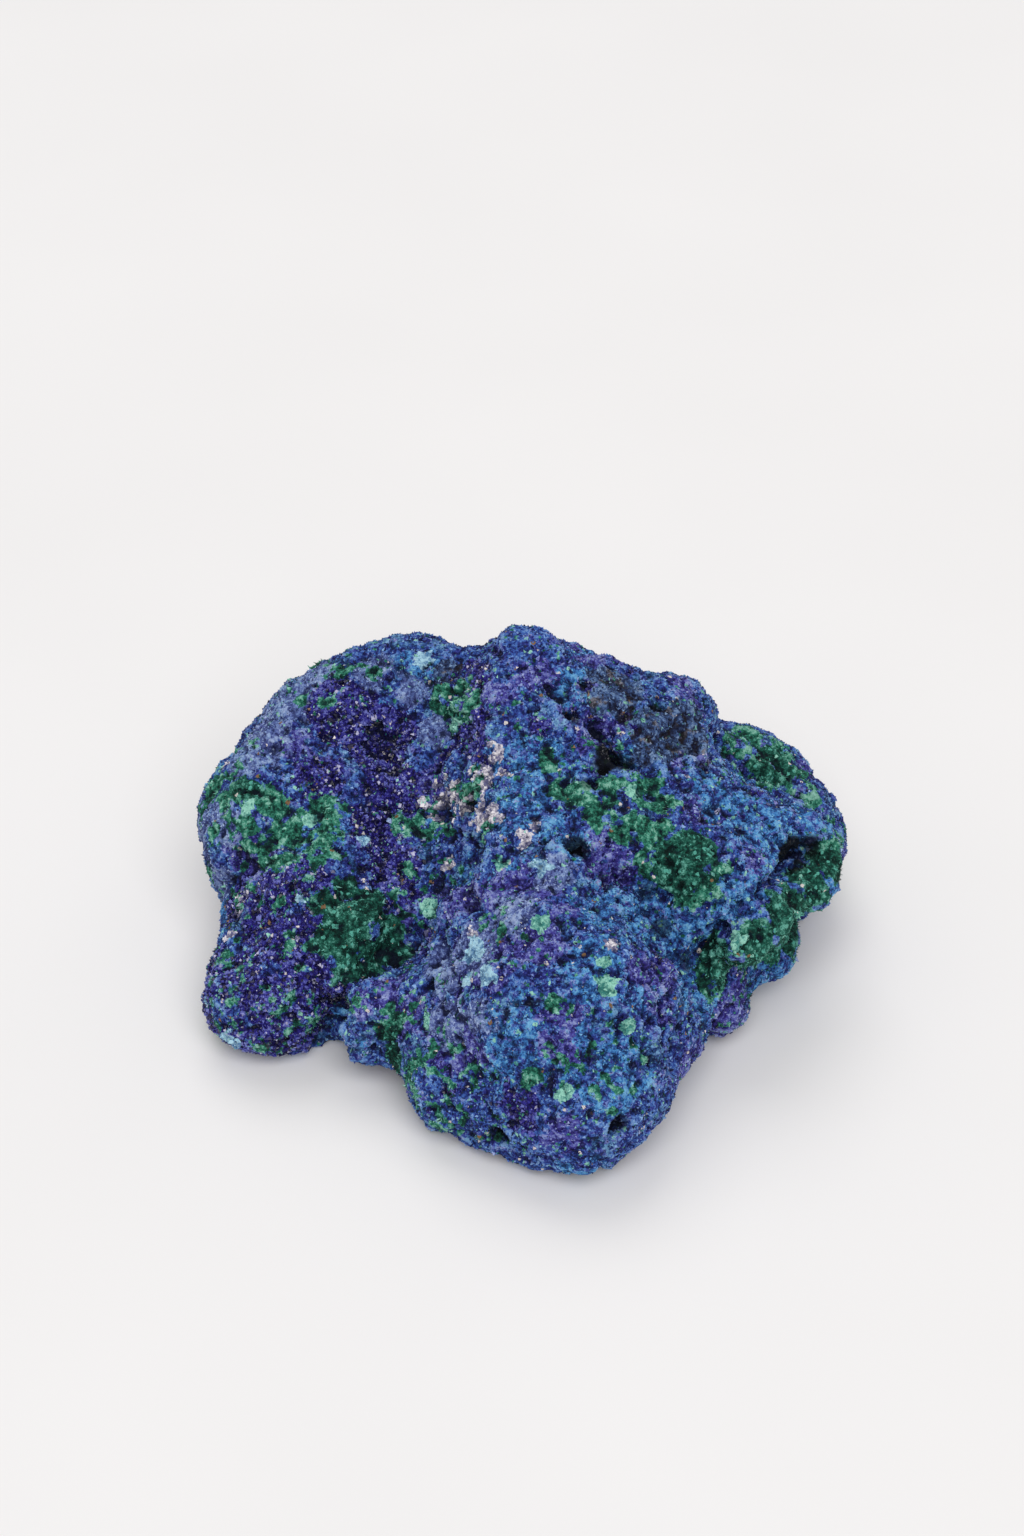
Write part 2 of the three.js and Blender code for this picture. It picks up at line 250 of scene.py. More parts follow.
def scrambled(cells, salt):
    """Three repeatable numbers from 0 to 1 for each whole-numbered cell."""
    c = cells.astype(np.int64).astype(np.uint64)
    h = c[:, 0] * np.uint64(0x9E3779B97F4A7C15) ^ c[:, 1] * np.uint64(0xC2B2AE3D27D4EB4F)
    h ^= c[:, 2] * np.uint64(0x165667B19E3779F9) + np.uint64(salt * 7919 + 1)
    for multiplier in (0xFF51AFD7ED558CCD, 0xC4CEB9FE1A85EC53):
        h ^= h >> np.uint64(33)
        h *= np.uint64(multiplier)
    h ^= h >> np.uint64(33)
    parts = [(h >> np.uint64(21 * k)) & np.uint64(0x1FFFFF) for k in range(3)]
    return np.stack(parts, 1) / 0x1FFFFF


def smooth_noise(points, size, salt, octaves=1):
    """Gradient noise from about -1 to 1, whose largest features are size across.

    Each salt gives another pattern, and each octave adds features half as large and half as high.
    """
    total = np.zeros(len(points))
    for octave in range(octaves):
        p = points * (2 ** octave / size)
        base = np.floor(p)
        part = p - base
        ease = part ** 3 * (part * (part * 6 - 15) + 10)
        for corner in np.ndindex(2, 2, 2):
            slope = scrambled(base + corner, salt + octave) * 2 - 1
            share = np.prod(np.where(corner, ease, 1 - ease), axis=1)
            total += share * (slope * (part - corner)).sum(1) * 1.7 / 2 ** octave
    return total


def seed_noise(points, size, salt):
    """Of random seeds about size apart, the one nearest to each point.

    Returns the distance to it as a share of size, and a number from 0 to 1 that belongs to it.
    """
    p = points / size
    cell = np.floor(p)
    nearest, tag = np.full(len(p), 9.0), np.zeros(len(p))
    for offset in np.ndindex(3, 3, 3):
        there = cell + offset - 1
        random = scrambled(there, salt)
        gap = np.linalg.norm(there + 0.1 + 0.8 * random - p, axis=1)
        closer = gap < nearest
        tag = np.where(closer, random[:, 0] * 7.13 % 1, tag)
        nearest = np.minimum(nearest, gap)
    return nearest, tag


def domes(points, size, salt):
    """Rounded knobs about size apart, from 1 on top to 0 in the gaps, and each knob's number."""
    away, tag = seed_noise(points, size, salt)
    return np.sqrt(np.clip(1 - (away / 0.68) ** 2, 0, 1)), tag


def smoothstep(low, high, x):
    t = np.clip((x - low) / (high - low), 0, 1)
    return t * t * (3 - 2 * t)


# ---------------------------------------------------------------------------
# Meshes as arrays, in millimetres
# ---------------------------------------------------------------------------

def arrays_of(mesh):
    points = np.zeros(len(mesh.vertices) * 3)
    mesh.vertices.foreach_get("co", points)
    edges = np.zeros(len(mesh.edges) * 2, int)
    mesh.edges.foreach_get("vertices", edges)
    return points.reshape(-1, 3) / MM, edges.reshape(-1, 2)


def normals_of(mesh):
    normals = np.zeros(len(mesh.vertices) * 3)
    mesh.vertices.foreach_get("normal", normals)
    return normals.reshape(-1, 3)


def set_points(mesh, points):
    mesh.vertices.foreach_set("co", (points * MM).ravel())
    mesh.update()


def neighbour_mean(values, edges):
    """Each vertex's mean of its neighbours' values."""
    ends, others = edges.ravel(), edges[:, ::-1].ravel()
    columns = values.reshape(len(values), -1)
    count = np.bincount(ends, minlength=len(values))
    totals = [np.bincount(ends, column[others], len(values)) for column in columns.T]
    return (np.stack(totals, 1) / count[:, None]).reshape(values.shape)


def evaluated(obj, name):
    """The object's mesh with its modifiers applied, as a new mesh."""
    depsgraph = bpy.context.evaluated_depsgraph_get()
    mesh = bpy.data.meshes.new_from_object(obj.evaluated_get(depsgraph))
    mesh.name = name
    return mesh


def remeshed(mesh, voxel):
    """A copy of the mesh made of even squares, voxel millimetres across."""
    obj = bpy.data.objects.new("remeshing", mesh)
    bpy.context.scene.collection.objects.link(obj)
    modifier = obj.modifiers.new("voxels", "REMESH")
    modifier.mode = "VOXEL"
    modifier.voxel_size = voxel * MM
    made = evaluated(obj, mesh.name)
    bpy.data.objects.remove(obj)
    return made


def add_object(name, mesh, material):
    obj = bpy.data.objects.new(name, mesh)
    bpy.context.scene.collection.objects.link(obj)
    mesh.materials.clear()
    mesh.materials.append(material)
    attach(obj, "root")
    return obj


def add_attribute(mesh, name, values):
    mesh.attributes.new(name, "FLOAT", "POINT").data.foreach_set("value", values.astype(np.float32))


# ---------------------------------------------------------------------------
# The lump's crust
# ---------------------------------------------------------------------------

def zone_weight(points, zone):
    """From below 0 outside the zone's spots to 1 well inside them."""
    weight = np.full(len(points), -0.6)
    for x, y, z, radius in ZONES[zone]:
        weight = np.maximum(weight, 1 - np.linalg.norm(points - (x, y, z), axis=1) / radius)
    return np.minimum(weight * 1.35, 1)


def big_warp(points):
    return np.stack([smooth_noise(points, 5, 31 + k, 2) for k in range(3)], 1)


def zones_at(points, normals):
    """How much of each kind of surface there is at each point, from 0 to 1."""
    rough = smooth_noise(points, 3.2, 11, 3)
    fine = smooth_noise(points, 1.3, 12, 2)
    _, knob = domes(points + 0.7 * big_warp(points), KNOB, 42)
    toward = normals @ (0, -math.cos(VIEW_ELEVATION), math.sin(VIEW_ELEVATION))
    hidden = smoothstep(0.05, -0.3, toward)
    broad = {
        "malachite": smooth_noise(points, 11, 21, 2) - 0.12,
        "druse": smooth_noise(points, 12, 22, 2) - 0.1,
        "cerulean": smooth_noise(points, 9, 23, 2) + 0.05,
        "violet": smooth_noise(points, 8, 24, 2),
        "powder": smooth_noise(points, 8, 25, 2) - 0.1,
    }
    found = {}
    for k, (zone, (by_rough, by_fine, by_knob)) in enumerate(FRAYING.items()):
        weight = zone_weight(points, zone)
        if zone in ("cerulean", "violet", "druse"):
            weight = np.maximum(weight, broad[zone] * 1.3 - 0.5)
        if zone in broad:
            weight = weight * (1 - hidden) + (broad[zone] * 1.6 - 0.15) * hidden
        luck = knob * (3.7 + 1.9 * k) % 1 - 0.5  # a knob's luck differs from zone to zone
        frayed = weight + by_rough * rough + by_fine * fine + by_knob * luck
        found[zone] = smoothstep(-0.02, 0.3, frayed)
    flecks = smoothstep(0.3, 0.42, smooth_noise(points, 1.5, 26, 2) + 0.2 * rough)
    flecks *= np.maximum(found["speckled"], 0.7 * hidden)
    found["malachite"] = np.maximum(found["malachite"], flecks)
    gaps = smoothstep(0.15, 0.36, smooth_noise(points, 1.5, 28, 2))
    found["malachite"] *= 1 - 0.9 * gaps * (1 - found["velvet"])
    veins = smoothstep(0.4, 0.22, np.abs(smooth_noise(points, 2.2, 27, 2)))
    small = smoothstep(0.85, 0.95, zone_weight(points, "gangue"))
    found["gangue"] *= np.maximum(veins, small)
    found["druse"] *= 1 - found["malachite"]
    found["violet"] *= 1 - 0.8 * smoothstep(0.2, 0.7, zone_weight(points, "cerulean"))
    return found


def coarse_relief(points, zones):
    """How far out the surface stands, from features a few millimetres across."""
    warp = big_warp(points)
    knob, tag = domes(points + 0.7 * warp, KNOB, 42)
    swells = 0.75 * smooth_noise(points, 6.5, 41, 2)
    crevices = 0.7 * smoothstep(0.13, 0.0, np.abs(smooth_noise(points + warp, 5.5, 47, 2)))
    knobs = (knob * (0.6 + 0.8 * tag) - 0.65) * (0.18 + 0.62 * zones["knobbly"])
    away, kind = seed_noise(points + 0.5 * warp, 2.6, 43)
    width = np.maximum(kind - 0.6, 0) * 0.75  # two seeds in five make a hole
    holes = 5 * width * smoothstep(width + 0.02, width * 0.4, away) * (1 - 0.5 * zones["druse"])
    growths = 0.22 * zones["malachite"] * (0.3 + smooth_noise(points, 1.7, 44, 2))
    return swells - crevices + knobs - holes + growths


def fold_height(points):
    """How far out the ridges stand and the creases go in."""
    height = np.zeros(len(points))
    ragged = 1 + 0.45 * smooth_noise(points, 2.4, 61, 2)
    for start, end, radius, high in FOLDS:
        start, along = np.array(start), np.subtract(end, start)
        share = np.clip((points - start) @ along / (along @ along), 0, 1)
        away = np.linalg.norm(points - start - share[:, None] * along, axis=1) / radius
        height += high * smoothstep(1.3, 0.1, away * ragged)
    return np.clip(height, -3, 1.2)


def pit_depth(points):
    """How far in the holes and caves go."""
    depth = np.zeros(len(points))
    ragged = 1 + 0.35 * smooth_noise(points, 1.6, 62, 2)
    for x, y, z, radius, deep in PITS:
        away = np.linalg.norm(points - (x, y, z), axis=1) / radius
        depth = np.maximum(depth, deep * smoothstep(1.1, 0.7, away * ragged))
    return depth


def painted_pit_shade(points):
    """How much painted shade darkens the insides of the holes, from 0 to 1."""
    painted_shade = np.zeros(len(points))
    for x, y, z, radius, deep in PITS:
        inward = np.subtract(HEART, (x, y, z))
        floor = np.add((x, y, z), inward * (0.6 * deep / np.linalg.norm(inward)))
        away = np.linalg.norm(points - floor, axis=1) / (0.5 * deep + 0.34 * radius)
        painted_shade = np.maximum(painted_shade, smoothstep(1.1, 0.8, away) * min(1, deep / 2.4))
    return painted_shade


def fine_relief(points, zones):
    """How far out the surface stands, from features about a millimetre across."""
    bend = 0.3 * np.stack([smooth_noise(points, 1.2, 46 + k) for k in range(3)], 1)
    knob, tag = domes(points + bend, 1.1, 51)
    crumb, _ = domes(points + bend, 0.62, 54)
    knobs = knob * (0.4 + 1.2 * tag) - 0.6
    crumbs = crumb - 0.6
    azurite = (0.07 + 0.26 * zones["knobbly"]) * knobs
    azurite += 0.12 * crumbs + 0.24 * smooth_noise(points, 1.1, 52, 2)
    malachite = 0.24 * smooth_noise(points, 0.9, 53, 2) + 0.1 * crumbs
    malachite += 0.4 * zones["knobbly"] * knobs
    return azurite * (1 - zones["malachite"]) + malachite * zones["malachite"]


def held_inside(points):
    """The points, with those near the sides of the part's box squeezed back inside it."""
    low, high = (np.array(corner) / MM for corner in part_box(LUMP))
    over = np.maximum(points - (high - SQUEEZE), 0)
    under = np.maximum(low + SQUEEZE - points, 0)
    under[:, 2] = 0
    points = points - over + SQUEEZE * np.tanh(over / SQUEEZE)
    points = points + under - SQUEEZE * np.tanh(under / SQUEEZE)
    points[:, 2] = np.maximum(points[:, 2], low[2])
    return points


def rounded_lump():
    """The part's own solid with its facets rounded off, as a new mesh."""
    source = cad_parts[LUMP].data.copy()
    b = bmesh.new()
    b.from_mesh(source)
    bmesh.ops.remove_doubles(b, verts=b.verts, dist=1e-6)
    b.to_mesh(source)
    b.free()
    obj = bpy.data.objects.new("smoothing", source)
    bpy.context.scene.collection.objects.link(obj)
    modifier = obj.modifiers.new("rounding", "SUBSURF")
    modifier.levels = modifier.render_levels = 2
    smooth = evaluated(obj, "azurite_crust")
    bpy.data.objects.remove(obj)
    return smooth


def coarsely_moved(mesh):
    """The mesh, with its vertices moved in and out by all but the finest relief."""
    smoothing_rounds = 10
    points, edges = arrays_of(mesh)
    normals = normals_of(mesh)
    for _ in range(smoothing_rounds):
        normals = neighbour_mean(normals, edges)
    normals /= np.linalg.norm(normals, axis=1, keepdims=True)
    zones = zones_at(points, normals)
    out = coarse_relief(points, zones) + fold_height(points) - pit_depth(points)
    set_points(mesh, points + normals * out[:, None])
    return mesh


def crust_mesh():
    """The whole crust as one closed mesh, which carries its zones and hollows as attributes, and
    the painted shade of its holes.
    """
    mesh = coarsely_moved(remeshed(rounded_lump(), CRUST_VOXEL))
    mesh = remeshed(mesh, CRUST_VOXEL)
    points, edges = arrays_of(mesh)
    points = 0.5 * points + 0.5 * neighbour_mean(points, edges)
    set_points(mesh, points)
    normals = normals_of(mesh)
    zones = zones_at(points, normals)
    points = held_inside(points + normals * fine_relief(points, zones)[:, None])
    set_points(mesh, points)
    for name, values in zones.items():
        add_attribute(mesh, name, values)
    # The painted shade inside the holes.
    add_attribute(mesh, "pit_painted_shade", painted_pit_shade(points))
    # How far each vertex lies below the surface around it, once near by and once further off. These
    # set the painted shade of the gaps.
    around = points.copy()
    for name, more_rounds, depth in (("hollow", 10, 0.26), ("cavity", 70, 0.9)):
        for _ in range(more_rounds):
            around = neighbour_mean(around, edges)
        below = ((around - points) * normals).sum(1)
        add_attribute(mesh, name, np.clip(below / depth, -1, 1))
    mesh.shade_smooth()
    return mesh


def part_of(mesh, name, above):
    """The part of the crust above or below the cut, closed there by a flat face."""
    b = bmesh.new()
    b.from_mesh(mesh)
    cut = bmesh.ops.bisect_plane(
        b, geom=b.verts[:] + b.edges[:] + b.faces[:],
        plane_co=(0, 0, CUT * MM), plane_no=(0, 0, 1), clear_inner=above, clear_outer=not above,
    )
    rim = [edge for edge in cut["geom_cut"] if isinstance(edge, bmesh.types.BMEdge)]
    for edge in rim:
        edge.smooth = False
    bmesh.ops.triangle_fill(b, edges=rim, use_beauty=True, normal=(0, 0, -1 if above else 1))
    bmesh.ops.triangulate(b, faces=b.faces[:])
    part = bpy.data.meshes.new(name)
    b.to_mesh(part)
    b.free()
    return part


# ---------------------------------------------------------------------------
# Loose pieces standing on the crust
# ---------------------------------------------------------------------------

CARRIED = [*ZONES, "hollow", "cavity", "pit_painted_shade"]  # the crust's attributes that its grains take over


def scattered(mesh, spacing, random):
    """Places about spacing apart on the mesh, with its normal and its attributes at each."""
    points, _ = arrays_of(mesh)
    normals = normals_of(mesh)
    mesh.calc_loop_triangles()
    corners = np.zeros(len(mesh.loop_triangles) * 3, int)
    mesh.loop_triangles.foreach_get("vertices", corners)
    corners = corners.reshape(-1, 3)
    a, b, c = (points[corners[:, k]] for k in range(3))
    area = np.linalg.norm(np.cross(b - a, c - a), axis=1) / 2
    tries = int(5 * area.sum() / spacing ** 2)  # enough to reach nearly every small cube
    picked = random.choice(len(corners), tries, p=area / area.sum())
    share = random.dirichlet((1, 1, 1), tries)
    place = np.einsum("ij,ijk->ik", share, points[corners[picked]])
    _, first = np.unique(np.floor(place / spacing).astype(int), axis=0, return_index=True)
    picked, share, place = picked[first], share[first], place[first]
    values = {"place": place, "normal": np.einsum("ij,ijk->ik", share, normals[corners[picked]])}
    for name in CARRIED:
        held = np.zeros(len(points), np.float32)
        mesh.attributes[name].data.foreach_get("value", held)
        values[name] = (share * held[corners[picked]]).sum(1)
    return values


def kept(values, chosen):
    """The places that are chosen, by a mask or by their indexes."""
    return {name: held[chosen] for name, held in values.items()}


def turned(count, random):
    """Random rotation matrices."""
    q = random.normal(size=(count, 4))
    w, x, y, z = (q / np.linalg.norm(q, axis=1, keepdims=True)).T
    return np.stack([
        1 - 2 * (y * y + z * z), 2 * (x * y - z * w), 2 * (x * z + y * w),
        2 * (x * y + z * w), 1 - 2 * (x * x + z * z), 2 * (y * z - x * w),
        2 * (x * z - y * w), 2 * (y * z + x * w), 1 - 2 * (x * x + y * y),
    ], 1).reshape(-1, 3, 3)


def add_bake_map(mesh, faces):
    """A UV map for baking, in which each triangle has half of a small square to itself."""
    halves = np.array([
        [(0.08, 0.08), (0.78, 0.08), (0.08, 0.78)],
        [(0.92, 0.92), (0.22, 0.92), (0.92, 0.22)],
    ])
    square, half = np.divmod(np.arange(faces), 2)
    across = math.ceil(math.sqrt(faces / 2))
    corner = np.stack([square % across, square // across], 1)[:, None] + halves[half]
    mesh.uv_layers.new(name="OFBake").data.foreach_set("uv", (corner / across).ravel())


def copies_mesh(name, corners, triangles, values, random):
    """One mesh of many small solids, each with a tone and a pick of its own.

    corners is indexed by solid, corner and axis. triangles lists the corners of a solid's faces.
    """
    count, each = corners.shape[:2]
    corners = corners.reshape(-1, 3).copy()
    corners[:, 2] = np.maximum(corners[:, 2], 0)
    faces = (np.arange(count)[:, None, None] * each + triangles).reshape(-1, 3)
    mesh = bpy.data.meshes.new(name)
    mesh.vertices.add(len(corners))
    mesh.vertices.foreach_set("co", (corners * MM).ravel())
    mesh.loops.add(faces.size)
    mesh.loops.foreach_set("vertex_index", faces.ravel())
    mesh.polygons.add(len(faces))
    mesh.polygons.foreach_set("loop_start", np.arange(len(faces)) * 3)
    mesh.update(calc_edges=True)
    mesh.shade_flat()
    add_bake_map(mesh, len(faces))
    for attribute in CARRIED:
        add_attribute(mesh, attribute, np.repeat(values[attribute], each))
    for attribute in ("tone", "pick"):
        add_attribute(mesh, attribute, np.repeat(random.random(count), each))
    return mesh


OCTAHEDRON = np.array([
    (1, 0, 0), (-1, 0, 0), (0, 1, 0), (0, -1, 0), (0, 0, 1), (0, 0, -1),
], float)
OCTAHEDRON_FACES = np.array([
    (0, 2, 4), (2, 1, 4), (1, 3, 4), (3, 0, 4), (2, 0, 5), (1, 2, 5), (3, 1, 5), (0, 3, 5),
])
TETRAHEDRON = np.array([(1, 1, 1), (1, -1, -1), (-1, 1, -1), (-1, -1, 1)]) * 0.75
TETRAHEDRON_FACES = np.array([(0, 1, 2), (0, 3, 1), (0, 2, 3), (1, 3, 2)])
SPIKE_FACES = np.array([(0, 1, 3), (1, 2, 3), (2, 0, 3), (2, 1, 0)])


def crystals(name, values, size, flatness, random):
    """Eight-sided crystals, size millimetres across on average, half sunk in the crust."""
    count = len(values["place"])
    shape = OCTAHEDRON * random.uniform(flatness, 1.4, (count, 1, 3))
    shape = shape + random.normal(0, 0.12, (count, 6, 3))
    shape = np.einsum("nij,nkj->nki", turned(count, random), shape)
    scale = size / 2 * random.lognormal(0, 0.28, count)
    rise = (scale * random.uniform(-0.4, 0.35, count))[:, None]
    corners = (values["place"] + values["normal"] * rise)[:, None] + shape * scale[:, None, None]
    return copies_mesh(name, corners, OCTAHEDRON_FACES, values, random)


def crumbs(name, values, size, random):
    """Four-sided crumbs, mostly sunk in the crust."""
    count = len(values["place"])
    shape = TETRAHEDRON + random.normal(0, 0.25, (count, 4, 3))
    shape = np.einsum("nij,nkj->nki", turned(count, random), shape)
    scale = size / 2 * random.lognormal(0, 0.25, count)
    rise = (scale * random.uniform(-0.8, 0.0, count))[:, None]
    corners = (values["place"] + values["normal"] * rise)[:, None] + shape * scale[:, None, None]
    return copies_mesh(name, corners, TETRAHEDRON_FACES, values, random)


def leaves(name, values, length, random):
    """Three-sided spikes leaning all ways off the crust."""
    count = len(values["place"])
    axis = values["normal"] + random.normal(0, 0.75, (count, 3))
    axis /= np.linalg.norm(axis, axis=1, keepdims=True)
    side = np.cross(axis, random.normal(size=(count, 3)))
    side /= np.linalg.norm(side, axis=1, keepdims=True)
    other = np.cross(axis, side)
    long = (length * random.lognormal(0, 0.3, count))[:, None]
    foot = values["place"] - values["normal"] * 0.1
    corners = np.stack([
        foot + side * long * 0.28, foot + (other * 0.24 - side * 0.14) * long,
        foot - (other * 0.12 + side * 0.14) * long, foot + axis * long,
    ], 1)
    return copies_mesh(name, corners, SPIKE_FACES, values, random)


# ---------------------------------------------------------------------------
# Materials
# ---------------------------------------------------------------------------

class Shading:
    """A material being made of nodes. Colours are (red, green, blue). Sizes are in millimetres."""

    def __init__(self, name):
        self.material = bpy.data.materials.new(name)
        self.material.use_nodes = True
        self.tree = self.material.node_tree
        self.surface = self.tree.nodes["Principled BSDF"]
        self.place = self.tree.nodes.new("ShaderNodeTexCoord").outputs["Object"]

    def link(self, value, socket):
        if isinstance(value, bpy.types.NodeSocket):
            self.tree.links.new(value, socket)
        elif isinstance(value, tuple):
            socket.default_value = (*value, 1)
        else:
            socket.default_value = value

    def noise(self, size, detail=3, roughness=0.6):
        node = self.tree.nodes.new("ShaderNodeTexNoise")
        self.tree.links.new(self.place, node.inputs["Vector"])
        node.inputs["Scale"].default_value = 1 / (size * MM)
        node.inputs["Detail"].default_value = detail
        node.inputs["Roughness"].default_value = roughness
        return node.outputs["Fac"]

    def cells(self, size):
        """The distance to the nearest seed, and a random colour for that seed."""
        node = self.tree.nodes.new("ShaderNodeTexVoronoi")
        self.tree.links.new(self.place, node.inputs["Vector"])
        node.inputs["Scale"].default_value = 1 / (size * MM)
        return node.outputs["Distance"], node.outputs["Color"]

    def attribute(self, name):
        node = self.tree.nodes.new("ShaderNodeAttribute")
        node.attribute_name = name
        return node.outputs["Fac"]

    def math(self, operation, a, b=0.0):
        node = self.tree.nodes.new("ShaderNodeMath")
        node.operation = operation
        self.link(a, node.inputs[0])
        self.link(b, node.inputs[1])
        return node.outputs["Value"]

    def spread(self, value, low, high, out_low=0.0, out_high=1.0):
        """value's span from low to high, eased onto out_low to out_high."""
        node = self.tree.nodes.new("ShaderNodeMapRange")
        node.interpolation_type = "SMOOTHSTEP"
        self.link(value, node.inputs["Value"])
        limits = {"From Min": low, "From Max": high, "To Min": out_low, "To Max": out_high}
        for name, number in limits.items():
            node.inputs[name].default_value = number
        return node.outputs["Result"]

    def mix(self, factor, a, b):
        node = self.tree.nodes.new("ShaderNodeMix")
        node.data_type = "RGBA"
        self.link(factor, node.inputs["Factor"])
        self.link(a, node.inputs["A"])
        self.link(b, node.inputs["B"])
        return node.outputs["Result"]

    def ramp(self, value, *stops):
        """Colours along value: each stop is (place, red, green, blue)."""
        node = self.tree.nodes.new("ShaderNodeValToRGB")
        self.link(value, node.inputs["Fac"])
        while len(node.color_ramp.elements) < len(stops):
            node.color_ramp.elements.new(0.5)
        for element, (place, *colour) in zip(node.color_ramp.elements, stops):
            element.position = place
            element.color = (*colour, 1)
        return node.outputs["Color"]

    def bump(self, height, distance, strength=1.0):
        node = self.tree.nodes.new("ShaderNodeBump")
        self.link(height, node.inputs["Height"])
        node.inputs["Distance"].default_value = distance * MM
        node.inputs["Strength"].default_value = strength
        self.link(node.outputs["Normal"], self.surface.inputs["Normal"])

    def finish(self, colour, roughness, specular=0.5):
        self.link(colour, self.surface.inputs["Base Color"])
        self.link(roughness, self.surface.inputs["Roughness"])
        self.surface.inputs["Specular IOR Level"].default_value = specular
        return self.material


# Each mineral's colours as its tone goes from dark to light: (tone, red, green, blue).
PALETTES = {
    "plain": [
        (0.0, 0.004, 0.009, 0.05), (0.3, 0.018, 0.036, 0.21), (0.55, 0.044, 0.11, 0.41),
        (0.78, 0.085, 0.2, 0.53), (1.0, 0.22, 0.38, 0.66),
    ],
    "teal": [(0.0, 0.004, 0.018, 0.05), (0.5, 0.028, 0.1, 0.2), (1.0, 0.16, 0.36, 0.52)],
    "druse": [
        (0.0, 0.003, 0.002, 0.03), (0.45, 0.013, 0.009, 0.13), (0.8, 0.038, 0.034, 0.3),
        (1.0, 0.13, 0.15, 0.46),
    ],
    "cerulean": [
        (0.0, 0.006, 0.024, 0.09), (0.35, 0.032, 0.12, 0.36), (0.65, 0.06, 0.25, 0.58),
        (1.0, 0.18, 0.44, 0.7),
    ],
    "violet": [
        (0.0, 0.009, 0.008, 0.08), (0.35, 0.055, 0.045, 0.29), (0.65, 0.11, 0.13, 0.45),
        (1.0, 0.3, 0.35, 0.62),
    ],
    "soot": [
        (0.0, 0.004, 0.006, 0.025), (0.45, 0.026, 0.045, 0.12), (0.75, 0.06, 0.12, 0.29),
        (1.0, 0.18, 0.28, 0.46),
    ],
    "brown": [(0.1, 0.012, 0.011, 0.016), (0.6, 0.06, 0.058, 0.08), (1.0, 0.2, 0.2, 0.24)],
    "powder": [
        (0.0, 0.02, 0.03, 0.12), (0.4, 0.1, 0.14, 0.37), (0.7, 0.19, 0.27, 0.52),
        (1.0, 0.36, 0.46, 0.68),
    ],
    "green": [
        (0.0, 0.003, 0.022, 0.018), (0.35, 0.011, 0.096, 0.066), (0.7, 0.045, 0.255, 0.175),
        (1.0, 0.25, 0.52, 0.42),
    ],
    "velvet": [
        (0.0, 0.001, 0.009, 0.008), (0.4, 0.004, 0.045, 0.034), (0.8, 0.02, 0.135, 0.097),
        (1.0, 0.14, 0.42, 0.34),
    ],
    "chalk": [(0.1, 0.12, 0.12, 0.24), (0.4, 0.4, 0.38, 0.47), (0.75, 0.76, 0.73, 0.77)],
    "aqua": [(0.1, 0.05, 0.24, 0.22), (0.7, 0.32, 0.66, 0.54)],
    "sky": [(0.1, 0.09, 0.22, 0.42), (0.7, 0.4, 0.65, 0.78)],
}
VELVET_FLECK = (0.1, 0.4, 0.32)
DRUSE_PAINTED_GLINT = (0.5, 0.5, 0.7)
PALE_FLECK = (0.7, 0.65, 0.62)
RUST_FLECK = (0.22, 0.13, 0.07)
# Colours of the painted shade in the gaps, hollows and holes.
AZURITE_PAINTED_SHADE = (0.003, 0.005, 0.018)
SOOT_PAINTED_SHADE = (0.014, 0.01, 0.012)
HOLE_PAINTED_SHADE = (0.001, 0.002, 0.004)


